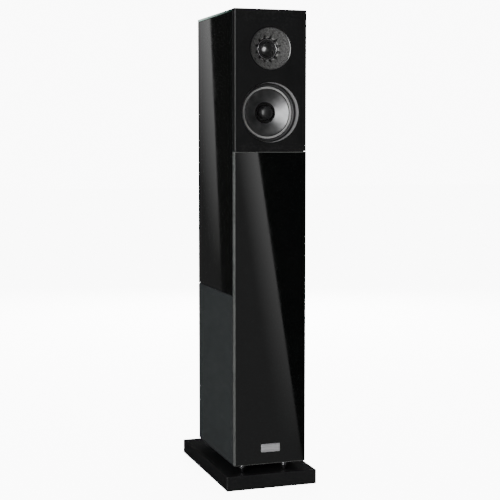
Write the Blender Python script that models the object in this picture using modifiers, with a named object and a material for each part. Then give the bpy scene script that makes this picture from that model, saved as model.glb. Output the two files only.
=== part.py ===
"""A slim floorstanding loudspeaker on a plinth: matte upper baffle with a tweeter and a midrange, glossy glass
lower front and sides, a pair of opposed side woofers behind lift-off grilles, a rear port and screw terminals.

Metres, +Z up. The front faces -Y, +X is on the right as seen from the front, and the origin is on the floor under
the middle of the plinth. Neighbouring pieces that touch keep a gap of FIT between them.
"""

import math

import bmesh
import bpy
from mathutils import Matrix, Vector

FIT = 0.0003

# Plinth and feet
PLINTH_WIDTH = 0.197
PLINTH_DEPTH = 0.336
PLINTH_THICKNESS = 0.031
PLINTH_LIP = 0.012
PLINTH_BEVEL = 0.0015
PAD_RADIUS = 0.011
PAD_THICKNESS = 0.003
PAD_INSET = 0.034
CONE_FOOT_GAP = 0.017
CONE_FOOT_RADIUS = 0.0085
CONE_FOOT_TIP_RADIUS = 0.0030
FRONT_FEET_X = (-0.058, 0.034)
BACK_FEET_X = (-0.046, 0.046)
FRONT_FEET_INSET = 0.011
BACK_FEET_INSET = 0.016

# Cabinet
CABINET_WIDTH = 0.155
CABINET_DEPTH = 0.264
CABINET_HEIGHT = 0.934
CABINET_FRONT = -PLINTH_DEPTH / 2 + PLINTH_LIP
CABINET_BACK = CABINET_FRONT + CABINET_DEPTH
CABINET_BOTTOM = PAD_THICKNESS + PLINTH_THICKNESS + CONE_FOOT_GAP
CABINET_TOP = CABINET_BOTTOM + CABINET_HEIGHT
BOARD = 0.018
THIN_BOARD = 0.012
FRONT_PANEL = 0.012
SHADOW_GAP = 0.0015
SKIN = 0.0063
TOP_GLASS = 0.0048
GLASS_CHAMFER = 0.0008
PANEL_CHAMFER = 0.0022
PANEL_SPLIT = 0.699
PANEL_SEAM = 0.0008
GRILLE_TOP = 0.404
CHAMBER_FLOOR = 0.680
BRACE_HEIGHT = 0.500
BRACE_WINDOW = (0.060, 0.130)

SKIN_FACE = CABINET_WIDTH / 2
SIDE_FACE = SKIN_FACE - SKIN - FIT
INNER_FACE = SIDE_FACE - BOARD
SKIN_FRONT = CABINET_FRONT + FRONT_PANEL + SHADOW_GAP
BOARD_FRONT = CABINET_FRONT + FRONT_PANEL + FIT
INNER_FRONT = BOARD_FRONT + BOARD
INNER_BACK = CABINET_BACK - BOARD
CARCASS_TOP = CABINET_TOP - TOP_GLASS - FIT
SHELL_BOTTOM = CABINET_BOTTOM + FIT

# Badge
BADGE_SIZE = (0.041, 0.0015, 0.017)
BADGE_HEIGHT = 0.0855

# Drivers, whose heights are counted forward from the cabinet's front face or, on a woofer, from its own flange
TWEETER_HEIGHT = 0.9065
TWEETER_RADIUS = 0.0431
TWEETER_THROAT = 0.0235
NOTCH_COUNT = 12
MID_HEIGHT = 0.778
MID_RADIUS = 0.0615
MID_FLANGE_RADIUS = 0.0665
MID_HOLE_RADIUS = 0.0620
WOOFER_HEIGHT = 0.227
WOOFER_Y = (SKIN_FRONT + CABINET_BACK) / 2
WOOFER_FLANGE_RADIUS = 0.0925
WOOFER_FLANGE = 0.004
WOOFER_REBATE = 0.010
WOOFER_HOLE_RADIUS = 0.083

# Grilles
GRILLE_FRAME_BAR = 0.014
GRILLE_CLOTH = 0.0006
GRILLE_CORNER = 0.006

# Back
PORT_HEIGHT = 0.376
PORT_RADIUS = 0.0265
PORT_WALL = 0.0025
PORT_LENGTH = 0.112
PORT_FLANGE_RADIUS = 0.0375
TERMINAL_HEIGHT = 0.120
TERMINAL_SIZE = (0.084, 0.003, 0.064)
POST_SPACING = 0.038

# Crossover, on the floor of the cabinet
CROSSOVER_SIZE = (0.088, 0.120, 0.0018)
COIL_PLACE = (-0.018, 0.025)
CAPACITOR_PLACE = (0.024, 0.0)

STEPS = 24
SMALL_STEPS = 16

FACING = {
    "front": (math.pi / 2, 0, 0),
    "back": (-math.pi / 2, 0, 0),
    "left": (0, -math.pi / 2, 0),
    "right": (0, math.pi / 2, 0),
    "up": (0, 0, 0),
}

# Colour, roughness and metallic of each finish
FINISHES = {
    "plinth_lacquer": ((0.012, 0.012, 0.013), 0.35, 0.0),
    "soft_rubber": ((0.015, 0.015, 0.015), 0.85, 0.0),
    "foot_metal": ((0.30, 0.30, 0.31), 0.30, 1.0),
    "fibreboard": ((0.35, 0.24, 0.14), 0.80, 0.0),
    "matte_baffle": ((0.020, 0.020, 0.022), 0.65, 0.0),
    "black_glass": ((0.008, 0.009, 0.009), 0.04, 0.0),
    "badge_silver": ((0.55, 0.55, 0.56), 0.30, 1.0),
    "tweeter_casting": ((0.10, 0.10, 0.10), 0.45, 0.8),
    "tweeter_gloss": ((0.010, 0.010, 0.010), 0.12, 0.0),
    "ring_metal": ((0.35, 0.35, 0.36), 0.28, 1.0),
    "cone_metal": ((0.20, 0.20, 0.21), 0.32, 1.0),
    "surround_rubber": ((0.020, 0.020, 0.021), 0.55, 0.0),
    "basket_metal": ((0.06, 0.06, 0.06), 0.50, 0.8),
    "magnet_steel": ((0.09, 0.09, 0.09), 0.45, 0.9),
    "spider_cloth": ((0.45, 0.30, 0.10), 0.90, 0.0),
    "woofer_cone": ((0.030, 0.030, 0.032), 0.55, 0.0),
    "frame_plastic": ((0.020, 0.020, 0.020), 0.60, 0.0),
    "grille_cloth": ((0.045, 0.050, 0.052), 0.95, 0.0),
    "port_plastic": ((0.018, 0.018, 0.018), 0.50, 0.0),
    "terminal_plastic": ((0.020, 0.020, 0.020), 0.40, 0.0),
    "post_brass": ((0.80, 0.60, 0.28), 0.25, 1.0),
    "knob_red": ((0.45, 0.01, 0.01), 0.35, 0.0),
    "knob_black": ((0.015, 0.015, 0.015), 0.35, 0.0),
    "circuit_board": ((0.03, 0.12, 0.05), 0.50, 0.0),
    "coil_copper": ((0.70, 0.30, 0.15), 0.30, 1.0),
    "capacitor_film": ((0.50, 0.42, 0.10), 0.40, 0.0),
}


def finish_of(name):
    """The Principled material of a finish, made once."""
    material = bpy.data.materials.get(name)
    if material is None:
        colour, roughness, metallic = FINISHES[name]
        material = bpy.data.materials.new(name)
        material.use_nodes = True
        shader = material.node_tree.nodes["Principled BSDF"]
        shader.inputs["Base Color"].default_value = (*colour, 1)
        shader.inputs["Roughness"].default_value = roughness
        shader.inputs["Metallic"].default_value = metallic
    return material


def add_object(name, mesh, collection, finish=None):
    obj = bpy.data.objects.new(name, mesh)
    bpy.data.collections[collection].objects.link(obj)
    if finish:
        mesh.materials.append(finish_of(finish))
    return obj


def box_mesh(name, size):
    """A box of this size about its own centre."""
    mesh = bpy.data.meshes.new(name)
    shape = bmesh.new()
    bmesh.ops.create_cube(shape, size=1)
    bmesh.ops.scale(shape, vec=Vector(size), verts=shape.verts)
    shape.to_mesh(mesh)
    shape.free()
    return mesh


def block(name, low, high, finish):
    """A box between two corners, in world coordinates."""
    size = [high[i] - low[i] for i in range(3)]
    obj = add_object(name, box_mesh(name, size), "speaker", finish)
    obj.location = [(high[i] + low[i]) / 2 for i in range(3)]
    return obj


def bevel_edges(obj, width, wanted, segments=1):
    """Bevels the box edges for which wanted(direction axis, edge centre in half sizes) is true."""
    shape = bmesh.new()
    shape.from_mesh(obj.data)
    half = [max(abs(vert.co[i]) for vert in shape.verts) for i in range(3)]
    chosen = []
    for edge in shape.edges:
        along = edge.verts[1].co - edge.verts[0].co
        axis = max(range(3), key=lambda i: abs(along[i]))
        centre = [(edge.verts[0].co[i] + edge.verts[1].co[i]) / 2 / half[i] for i in range(3)]
        if wanted(axis, centre):
            chosen.append(edge)
    bmesh.ops.bevel(
        shape, geom=chosen, offset=width, segments=segments, profile=0.5, affect="EDGES"
    )
    shape.to_mesh(obj.data)
    shape.free()


def arc(centre, radius, start, end, count):
    """Points on an arc of a profile, from one angle to the other, in degrees from +X."""
    points = []
    for i in range(count + 1):
        angle = math.radians(start + (end - start) * i / count)
        points.append((centre[0] + radius * math.cos(angle), centre[1] + radius * math.sin(angle)))
    return points


def turned(name, profile, place, facing, finish=None, steps=STEPS, collection="speaker"):
    """Turns a profile of (radius, height) points about its height axis, which points the way it faces.
    The profile runs down the outer side first. It closes on itself unless it ends on the axis."""
    mesh = bpy.data.meshes.new(name)
    shape = bmesh.new()
    verts = [shape.verts.new((radius, 0, height)) for radius, height in profile]
    for first, second in zip(verts, verts[1:]):
        shape.edges.new((first, second))
    if profile[0][0] > 0 or profile[-1][0] > 0:
        shape.edges.new((verts[-1], verts[0]))
    shape.to_mesh(mesh)
    shape.free()
    obj = add_object(name, mesh, collection, finish)
    obj.location = place
    obj.rotation_euler = FACING[facing]
    screw = obj.modifiers.new("Screw", "SCREW")
    screw.axis = "Z"
    screw.steps = steps
    screw.render_steps = steps
    screw.use_merge_vertices = True
    screw.merge_threshold = 0.00005
    screw.use_smooth_shade = True
    return obj


def ring(inner, outer, low, high):
    """The profile of a plain ring."""
    return [(outer, high), (outer, low), (inner, low), (inner, high)]


def rod(radius, low, high):
    """The profile of a plain rod."""
    return [(0, high), (radius, high), (radius, low), (0, low)]


def hide_cutter(cutter):
    cutter.hide_render = True
    cutter.display_type = "WIRE"


def cut(obj, cutter):
    """Takes the cutter's shape out of an object."""
    hide_cutter(cutter)
    boolean = obj.modifiers.new(cutter.name, "BOOLEAN")
    boolean.operation = "DIFFERENCE"
    boolean.object = cutter


def box_cutter(name, low, high, turn=None):
    """A box cutter, turned about the world point in turn = (point, axis, angle) where that is given."""
    size = [high[i] - low[i] for i in range(3)]
    cutter = add_object(name, box_mesh(name, size), "cutters")
    matrix = Matrix.Translation([(high[i] + low[i]) / 2 for i in range(3)])
    if turn:
        point, axis, angle = turn
        about = Matrix.Translation(point) @ Matrix.Rotation(angle, 4, axis)
        matrix = about @ Matrix.Translation(-Vector(point)) @ matrix
    cutter.matrix_world = matrix
    return cutter


def round_cutter(name, radius, low, high, place, facing):
    return turned(name, rod(radius, low, high), place, facing, collection="cutters")


def stepped_cutter(name, wide, floor, narrow, place, facing):
    """The cutter of a rebate of radius wide down to its floor, and of the narrow hole through the rest."""
    over = 0.020
    profile = [(0, over), (wide, over), (wide, floor), (narrow, floor), (narrow, floor - over), (0, floor - over)]
    return turned(name, profile, place, facing, collection="cutters")


def make_base():
    """The plinth, its pads and the cone feet that carry the cabinet."""
    half_width, half_depth = PLINTH_WIDTH / 2, PLINTH_DEPTH / 2
    top = PAD_THICKNESS + PLINTH_THICKNESS
    plinth = block(
        "plinth_board",
        (-half_width, -half_depth, PAD_THICKNESS),
        (half_width, half_depth, top),
        "plinth_lacquer",
    )
    bevel_edges(plinth, PLINTH_BEVEL, lambda axis, centre: axis == 2 or centre[2] > 0.5)
    pad_x, pad_y = half_width - PAD_INSET, half_depth - PAD_INSET
    foot_places = [(x, CABINET_FRONT + FRONT_FEET_INSET) for x in FRONT_FEET_X]
    foot_places += [(x, CABINET_BACK - BACK_FEET_INSET) for x in BACK_FEET_X]
    pad_places = [(side * pad_x, end * pad_y) for end in (-1, 1) for side in (-1, 1)]
    for number, (x, y) in enumerate(pad_places, 1):
        profile = rod(PAD_RADIUS, 0, PAD_THICKNESS - FIT)
        turned(f"plinth_pad_{number}", profile, (x, y, 0), "up", "soft_rubber", SMALL_STEPS)
    for number, (x, y) in enumerate(foot_places, 1):
        profile = [
            (0, CONE_FOOT_GAP),
            (CONE_FOOT_RADIUS, CONE_FOOT_GAP),
            (CONE_FOOT_RADIUS, CONE_FOOT_GAP - 0.002),
            (CONE_FOOT_TIP_RADIUS, FIT),
            (0, FIT),
        ]
        turned(f"cone_foot_{number}", profile, (x, y, top), "up", "foot_metal", SMALL_STEPS)


def make_carcass():
    """The fibreboard box with its driver holes, and the shelf and brace inside it."""
    floor_top = SHELL_BOTTOM + BOARD
    ceiling = CARCASS_TOP - BOARD
    lid_front, lid_back = INNER_FRONT + FIT, INNER_BACK - FIT
    block(
        "bottom_board",
        (-SIDE_FACE, lid_front, SHELL_BOTTOM),
        (SIDE_FACE, lid_back, floor_top),
        "fibreboard",
    )
    block("top_board", (-SIDE_FACE, lid_front, ceiling), (SIDE_FACE, lid_back, CARCASS_TOP), "fibreboard")
    inner = INNER_FACE - FIT
    block(
        "mid_chamber_shelf",
        (-inner, lid_front, CHAMBER_FLOOR),
        (inner, lid_back, CHAMBER_FLOOR + THIN_BOARD),
        "fibreboard",
    )
    brace = block(
        "window_brace",
        (-inner, lid_front, BRACE_HEIGHT),
        (inner, lid_back, BRACE_HEIGHT + THIN_BOARD),
        "fibreboard",
    )
    half_x, half_y = BRACE_WINDOW[0] / 2, BRACE_WINDOW[1] / 2
    middle = (lid_front + lid_back) / 2
    window = box_cutter(
        "brace_window",
        (-half_x, middle - half_y, BRACE_HEIGHT - 0.01),
        (half_x, middle + half_y, BRACE_HEIGHT + THIN_BOARD + 0.01),
    )
    bevel_edges(window, 0.015, lambda axis, centre: axis == 2, segments=3)
    cut(brace, window)
    for side, sign, facing in (("left", -1, "left"), ("right", 1, "right")):
        near, far = sorted((sign * INNER_FACE, sign * SIDE_FACE))
        board = block(
            f"{side}_side_board",
            (near, lid_front, floor_top + FIT),
            (far, lid_back, ceiling - FIT),
            "fibreboard",
        )
        place = (sign * SIDE_FACE, WOOFER_Y, WOOFER_HEIGHT)
        wide = WOOFER_FLANGE_RADIUS + FIT
        name = f"{side}_woofer_seat"
        cut(board, stepped_cutter(name, wide, -WOOFER_REBATE, WOOFER_HOLE_RADIUS, place, facing))
    back = block(
        "back_board",
        (-SIDE_FACE, INNER_BACK, SHELL_BOTTOM),
        (SIDE_FACE, CABINET_BACK, CARCASS_TOP),
        "fibreboard",
    )
    port_place = (0, CABINET_BACK, PORT_HEIGHT)
    cut(back, round_cutter("port_hole", PORT_RADIUS + PORT_WALL + FIT, -0.03, 0.01, port_place, "back"))
    make_front_board()


def make_front_board():
    """The board behind the front panels, rebated for the tweeter plate and the midrange flange."""
    board = block(
        "front_board",
        (-SIDE_FACE, BOARD_FRONT, SHELL_BOTTOM),
        (SIDE_FACE, INNER_FRONT, CARCASS_TOP),
        "fibreboard",
    )
    tweeter = (0, CABINET_FRONT, TWEETER_HEIGHT)
    mid = (0, CABINET_FRONT, MID_HEIGHT)
    cut(board, stepped_cutter("tweeter_seat", TWEETER_RADIUS, -0.0183, 0.0345, tweeter, "front"))
    cut(board, stepped_cutter("mid_seat", MID_FLANGE_RADIUS + FIT, -0.0245, MID_HOLE_RADIUS, mid, "front"))


def make_panels():
    """The two front panels and the glass on the sides and the top."""
    front_edges = lambda axis, centre: axis == 2 and centre[1] < 0
    cover = block(
        "upper_baffle_cover",
        (-SKIN_FACE, CABINET_FRONT, PANEL_SPLIT + PANEL_SEAM / 2),
        (SKIN_FACE, CABINET_FRONT + FRONT_PANEL, CABINET_TOP),
        "matte_baffle",
    )
    bevel_edges(cover, PANEL_CHAMFER, front_edges)
    place = (0, CABINET_FRONT, TWEETER_HEIGHT)
    cut(cover, round_cutter("tweeter_opening", TWEETER_RADIUS, -0.03, 0.01, place, "front"))
    place = (0, CABINET_FRONT, MID_HEIGHT)
    cut(cover, round_cutter("mid_opening", MID_RADIUS, -0.03, 0.01, place, "front"))
    lower = block(
        "lower_front_glass",
        (-SKIN_FACE, CABINET_FRONT, SHELL_BOTTOM),
        (SKIN_FACE, CABINET_FRONT + FRONT_PANEL, PANEL_SPLIT - PANEL_SEAM / 2),
        "black_glass",
    )
    bevel_edges(lower, PANEL_CHAMFER, front_edges)
    for side, sign in (("left", -1), ("right", 1)):
        near, far = sorted((sign * (SKIN_FACE - SKIN), sign * SKIN_FACE))
        glass = block(
            f"{side}_glass_panel",
            (near, SKIN_FRONT, GRILLE_TOP + 0.0005),
            (far, CABINET_BACK, CARCASS_TOP),
            "black_glass",
        )
        bevel_edges(glass, GLASS_CHAMFER, lambda axis, centre: centre[0] * sign > 0.5)
    top = block(
        "top_glass_panel",
        (-SKIN_FACE, SKIN_FRONT, CABINET_TOP - TOP_GLASS),
        (SKIN_FACE, CABINET_BACK, CABINET_TOP),
        "black_glass",
    )
    bevel_edges(top, GLASS_CHAMFER, lambda axis, centre: centre[2] > 0.5)


def make_badge():
    width, depth, height = BADGE_SIZE
    badge = block(
        "badge_plate",
        (-width / 2, CABINET_FRONT - FIT - depth, BADGE_HEIGHT - height / 2),
        (width / 2, CABINET_FRONT - FIT, BADGE_HEIGHT + height / 2),
        "badge_silver",
    )
    bevel_edges(badge, 0.0015, lambda axis, centre: axis == 1, segments=2)


def make_tweeter():
    """A dome tweeter at the bottom of a dished, notched casting."""
    place = (0, CABINET_FRONT, TWEETER_HEIGHT)
    rim = TWEETER_RADIUS - FIT
    throat = TWEETER_THROAT
    faceplate = turned(
        "tweeter_faceplate",
        [
            (rim, -0.0005),
            (rim, -0.0180),
            (0.0340, -0.0180),
            (0.0340, -0.0270),
            (throat, -0.0270),
            (throat, -0.0195),
            (throat + 0.0006, -0.0188),
            (rim - 0.0016, -0.0060),
            (rim - 0.0016, -0.0012),
            (rim - 0.0008, -0.0005),
        ],
        place,
        "front",
        "tweeter_casting",
        steps=STEPS,
    )
    for number in range(NOTCH_COUNT // 2):
        angle = math.radians(15 + number * 360 / NOTCH_COUNT)
        reach, half = 0.0275, 0.0016
        notch = box_cutter(
            f"tweeter_notch_{number + 1}",
            (-reach, CABINET_FRONT + 0.010, TWEETER_HEIGHT - half),
            (reach, CABINET_FRONT + 0.0215, TWEETER_HEIGHT + half),
            (place, "Y", angle),
        )
        cut(faceplate, notch)
    turned(
        "tweeter_clamp_ring",
        [(0.0205, -0.0205), (0.0205, -0.0270), (0.0178, -0.0270)]
        + [(0.0178, -0.0240), (0.0190, -0.0200), (0.0200, -0.0200)],
        place,
        "front",
        "tweeter_gloss",
        SMALL_STEPS,
    )
    turned(
        "tweeter_surround",
        [
            (0.0175, -0.0250),
            (0.0175, -0.0262),
            (0.0159, -0.0262),
            (0.0159, -0.0250),
            (0.0167, -0.0240),
        ],
        place,
        "front",
        "surround_rubber",
        SMALL_STEPS,
    )
    dome = arc((0, -0.0305), 0.0155, 90, 22, 5)
    turned(
        "tweeter_diaphragm",
        dome
        + [(0.0150, -0.0247), (0.0150, -0.0330), (0.0144, -0.0330), (0.0144, -0.0256)]
        + arc((0, -0.0311), 0.0153, 30, 90, 3),
        place,
        "front",
        "tweeter_gloss",
        SMALL_STEPS,
    )
    turned(
        "tweeter_motor",
        [
            (0, -0.0290),
            (0.0138, -0.0290),
            (0.0138, -0.0380),
            (0.0157, -0.0380),
            (0.0157, -0.0273),
            (0.0315, -0.0273),
            (0.0315, -0.0560),
            (0, -0.0560),
        ],
        place,
        "front",
        "magnet_steel",
        SMALL_STEPS,
    )


def cone_windows(basket, place, facing, low, high, width, reach):
    """Cuts six windows through a basket's sloping side."""
    spin_axis = "Y" if facing == "front" else "X"
    outward = {"front": Vector((0, -1, 0)), "left": Vector((-1, 0, 0)), "right": Vector((1, 0, 0))}[facing]
    for number in range(3):
        near = Vector(place) + outward * low
        far = Vector(place) + outward * high
        span = Vector((reach, 0, width / 2)) if facing == "front" else Vector((0, reach, width / 2))
        corners = [near - span, near + span, far - span, far + span]
        lowest = [min(corner[i] for corner in corners) for i in range(3)]
        highest = [max(corner[i] for corner in corners) for i in range(3)]
        turn = (place, spin_axis, math.radians(30 + 60 * number))
        cut(basket, box_cutter(f"{basket.name}_window_{number + 1}", lowest, highest, turn))


def make_midrange():
    """A metal-coned midrange with a fixed bullet, set back behind a trim ring."""
    place = (0, CABINET_FRONT, MID_HEIGHT)
    outer = MID_RADIUS - FIT
    turned(
        "mid_trim_ring",
        [(outer, -0.0004), (outer, -0.0195), (0.0598, -0.0195)]
        + [(0.0598, -0.0030), (0.0603, -0.0010), (0.0608, -0.0004)],
        place,
        "front",
        "ring_metal",
    )
    basket = turned(
        "mid_basket",
        [
            (MID_FLANGE_RADIUS, -0.0210),
            (MID_FLANGE_RADIUS, -0.0242),
            (0.0605, -0.0242),
            (0.0520, -0.0306),
            (0.0420, -0.0480),
            (0.0220, -0.0480),
            (0.0220, -0.0460),
            (0.0400, -0.0460),
            (0.0500, -0.0300),
            (0.0590, -0.0228),
            (0.0600, -0.0210),
        ],
        place,
        "front",
        "basket_metal",
    )
    cone_windows(basket, place, "front", -0.0440, -0.0280, 0.022, 0.060)
    turned(
        "mid_surround",
        [(0.0640, -0.0198), (0.0640, -0.0207), (0.0600, -0.0207)]
        + arc((0.0566, -0.0226), 0.0024, 10, 175, 4)
        + [(0.0536, -0.0244), (0.0536, -0.0235)]
        + arc((0.0566, -0.0220), 0.0029, 160, 25, 5)
        + [(0.0596, -0.0198)],
        place,
        "front",
        "surround_rubber",
    )
    cone_front = [
        (0.0498, -0.0230),
        (0.0400, -0.0263),
        (0.0300, -0.0305),
        (0.0225, -0.0350),
        (0.0172, -0.0400),
    ]
    cone_back = [(radius + 0.0006, height - 0.0010) for radius, height in reversed(cone_front[1:-1])]
    turned(
        "mid_cone",
        [(0.0530, -0.0221), (0.0532, -0.0238), (0.0498, -0.0247)]
        + list(reversed(cone_back))
        + [(0.0172, -0.0415), (0.0172, -0.0560), (0.0162, -0.0560), (0.0162, -0.0400)]
        + [(0.0166, -0.0395)]
        + list(reversed(cone_front[:-1]))
        + [(0.0505, -0.0215), (0.0520, -0.0213)],
        place,
        "front",
        "cone_metal",
    )
    turned(
        "mid_spider",
        [(0.0330, -0.0425), (0.0330, -0.0457), (0.0310, -0.0457)]
        + [(0.0310, -0.0433), (0.0176, -0.0433), (0.0176, -0.0425)],
        place,
        "front",
        "spider_cloth",
    )
    turned(
        "mid_magnet",
        [
            (0, -0.0483),
            (0.0154, -0.0483),
            (0.0154, -0.0640),
            (0.0180, -0.0640),
            (0.0180, -0.0483),
            (0.0405, -0.0483),
            (0.0405, -0.0720),
            (0, -0.0720),
        ],
        place,
        "front",
        "magnet_steel",
    )
    turned(
        "mid_phase_plug",
        [(0, -0.0200)]
        + arc((0, -0.0290), 0.0090, 80, 60, 2)
        + [(0.0085, -0.0225), (0.0113, -0.0258), (0.0128, -0.0300)]
        + [(0.0130, -0.0340), (0.0130, -0.0480), (0, -0.0480)],
        place,
        "front",
        "cone_metal",
    )


def make_woofer(side, sign):
    """A shallow woofer behind the grille of one side, its flange sunk in the board."""
    face = SIDE_FACE - WOOFER_REBATE + FIT + WOOFER_FLANGE
    place = (sign * face, WOOFER_Y, WOOFER_HEIGHT)
    basket = turned(
        f"{side}_woofer_basket",
        [
            (WOOFER_FLANGE_RADIUS, 0),
            (WOOFER_FLANGE_RADIUS, -WOOFER_FLANGE),
            (0.0810, -WOOFER_FLANGE),
            (0.0560, -0.0300),
            (0.0240, -0.0300),
            (0.0240, -0.0280),
            (0.0540, -0.0280),
            (0.0790, -0.0020),
            (0.0830, 0),
        ],
        place,
        side,
        "basket_metal",
    )
    cone_windows(basket, place, side, -0.0265, -0.0065, 0.030, 0.090)
    turned(
        f"{side}_woofer_surround",
        [(0.0880, 0.0012), (0.0880, FIT), (0.0818, FIT)]
        + arc((0.0752, FIT), 0.0052, 0, 180, 5)
        + [(0.0690, 0.0003), (0.0690, 0.0011)]
        + arc((0.0752, 0.0006), 0.0060, 175, 5, 5),
        place,
        side,
        "surround_rubber",
    )
    turned(
        f"{side}_woofer_cone",
        [
            (0, -0.0060),
            (0.0120, -0.0077),
            (0.0240, -0.0125),
            (0.0672, 0.0007),
            (0.0682, 0.0004),
            (0.0682, -0.0006),
            (0.0190, -0.0155),
            (0.0190, -0.0370),
            (0.0181, -0.0370),
            (0.0181, -0.0145),
            (0.0120, -0.0092),
            (0, -0.0076),
        ],
        place,
        side,
        "woofer_cone",
    )
    turned(
        f"{side}_woofer_spider",
        [(0.0470, -0.0218), (0.0470, -0.0277), (0.0450, -0.0277)]
        + [(0.0450, -0.0226), (0.0194, -0.0226), (0.0194, -0.0218)],
        place,
        side,
        "spider_cloth",
    )
    turned(
        f"{side}_woofer_magnet",
        [
            (0, -0.0303),
            (0.0173, -0.0303),
            (0.0173, -0.0500),
            (0.0198, -0.0500),
            (0.0198, -0.0303),
            (0.0450, -0.0303),
            (0.0450, -0.0550),
            (0, -0.0550),
        ],
        place,
        side,
        "magnet_steel",
    )


def make_grille(side, sign):
    """A lift-off grille: a rectangular frame with cloth stretched over its face."""
    bottom, top = SHELL_BOTTOM, GRILLE_TOP - 0.0005
    frame_face = SKIN_FACE - GRILLE_CLOTH - FIT
    near, far = sorted((sign * (SKIN_FACE - SKIN), sign * frame_face))
    frame = block(
        f"{side}_grille_frame",
        (near, SKIN_FRONT, bottom),
        (far, CABINET_BACK, top),
        "frame_plastic",
    )
    bar = GRILLE_FRAME_BAR
    window = box_cutter(
        f"{side}_grille_window",
        (near - 0.01, SKIN_FRONT + bar, bottom + bar),
        (far + 0.01, CABINET_BACK - bar, top - bar),
    )
    bevel_edges(window, GRILLE_CORNER, lambda axis, centre: axis == 0, segments=3)
    cut(frame, window)
    near, far = sorted((sign * (SKIN_FACE - GRILLE_CLOTH), sign * SKIN_FACE))
    block(
        f"{side}_grille_cloth",
        (near, SKIN_FRONT, bottom),
        (far, CABINET_BACK, top),
        "grille_cloth",
    )


def make_port():
    """A flared tube through the back board."""
    outer = PORT_RADIUS + PORT_WALL
    turned(
        "port_tube",
        [
            (PORT_FLANGE_RADIUS, 0.0015),
            (PORT_FLANGE_RADIUS, FIT),
            (outer, FIT),
            (outer, FIT - PORT_LENGTH),
            (PORT_RADIUS, FIT - PORT_LENGTH),
            (PORT_RADIUS, -0.0075),
        ]
        + arc((PORT_RADIUS + 0.0100, -0.0075), 0.0100, 160, 100, 3),
        (0, CABINET_BACK, PORT_HEIGHT),
        "back",
        "port_plastic",
    )


def make_terminals():
    """The rear terminal plate and two binding posts, each a stud, a clamp washer and a screw knob."""
    width, depth, height = TERMINAL_SIZE
    near = CABINET_BACK + FIT
    plate = block(
        "terminal_plate",
        (-width / 2, near, TERMINAL_HEIGHT - height / 2),
        (width / 2, near + depth, TERMINAL_HEIGHT + height / 2),
        "terminal_plastic",
    )
    bevel_edges(plate, 0.006, lambda axis, centre: axis == 1, segments=3)
    for colour, x in (("red", POST_SPACING / 2), ("black", -POST_SPACING / 2)):
        place = (x, near + depth + FIT, TERMINAL_HEIGHT)
        stud = [(0, 0.0200), (0.0030, 0.0200), (0.0030, 0.0040), (0.0080, 0.0040), (0.0080, 0), (0, 0)]
        turned(f"{colour}_post", stud, place, "back", "post_brass", SMALL_STEPS)
        washer = ring(0.0034, 0.0072, 0.0043, 0.0060)
        turned(f"{colour}_clamp_washer", washer, place, "back", "post_brass", SMALL_STEPS)
        knob = [
            (0.0065, 0.0230),
            (0.0080, 0.0215),
            (0.0080, 0.0075),
            (0.0072, 0.0063),
            (0.0034, 0.0063),
            (0.0034, 0.0230),
        ]
        turned(f"{colour}_knob", knob, place, "back", f"knob_{colour}", SMALL_STEPS)


def make_crossover():
    """The filter board on the cabinet floor, with its coil and capacitor."""
    width, depth, thickness = CROSSOVER_SIZE
    floor = SHELL_BOTTOM + BOARD + FIT
    block(
        "crossover_board",
        (-width / 2, -depth / 2, floor),
        (width / 2, depth / 2, floor + thickness),
        "circuit_board",
    )
    top = floor + thickness + FIT
    coil = ring(0.0100, 0.0220, 0, 0.0180)
    turned("crossover_coil", coil, (*COIL_PLACE, top), "up", "coil_copper", SMALL_STEPS)
    radius = 0.0110
    turned(
        "crossover_capacitor",
        rod(radius, -0.022, 0.022),
        (*CAPACITOR_PLACE, top + radius),
        "back",
        "capacitor_film",
        SMALL_STEPS,
    )


def main():
    for obj in list(bpy.data.objects):
        bpy.data.objects.remove(obj)
    for name in ("speaker", "cutters"):
        collection = bpy.data.collections.new(name)
        bpy.context.scene.collection.children.link(collection)
    make_base()
    make_carcass()
    make_panels()
    make_badge()
    make_tweeter()
    make_midrange()
    for side, sign in (("left", -1), ("right", 1)):
        make_woofer(side, sign)
        make_grille(side, sign)
    make_port()
    make_terminals()
    make_crossover()


main()
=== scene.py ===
import math

import bmesh
import bpy
from mathutils import Matrix, Vector, noise


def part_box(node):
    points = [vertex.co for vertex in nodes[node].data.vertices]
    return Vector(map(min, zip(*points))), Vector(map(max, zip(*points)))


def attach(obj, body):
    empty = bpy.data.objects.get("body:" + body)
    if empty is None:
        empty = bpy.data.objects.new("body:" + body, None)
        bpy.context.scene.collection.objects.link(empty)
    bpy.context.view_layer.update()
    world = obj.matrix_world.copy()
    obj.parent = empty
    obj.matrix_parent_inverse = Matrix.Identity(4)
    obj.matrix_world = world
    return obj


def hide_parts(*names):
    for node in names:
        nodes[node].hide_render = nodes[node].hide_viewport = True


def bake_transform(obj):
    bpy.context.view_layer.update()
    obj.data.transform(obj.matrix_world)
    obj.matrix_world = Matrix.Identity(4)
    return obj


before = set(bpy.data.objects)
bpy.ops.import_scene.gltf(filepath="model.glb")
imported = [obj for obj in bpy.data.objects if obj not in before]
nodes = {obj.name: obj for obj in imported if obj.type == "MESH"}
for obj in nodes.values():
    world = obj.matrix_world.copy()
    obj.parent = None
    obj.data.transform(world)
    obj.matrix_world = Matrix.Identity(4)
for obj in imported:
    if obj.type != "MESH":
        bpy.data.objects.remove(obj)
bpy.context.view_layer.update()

# A slim floorstanding loudspeaker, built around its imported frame. Metres, front towards -Y, up is +Z.

turnTo = {
    "front": Matrix.Rotation(math.pi / 2, 4, "X"),
    "back": Matrix.Rotation(-math.pi / 2, 4, "X"),
    "left": Matrix.Rotation(-math.pi / 2, 4, "Y"),
    "right": Matrix.Rotation(math.pi / 2, 4, "Y"),
    "up": Matrix.Identity(4),
}


def middle(node):
    low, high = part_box(node)
    return (low + high) / 2


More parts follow.
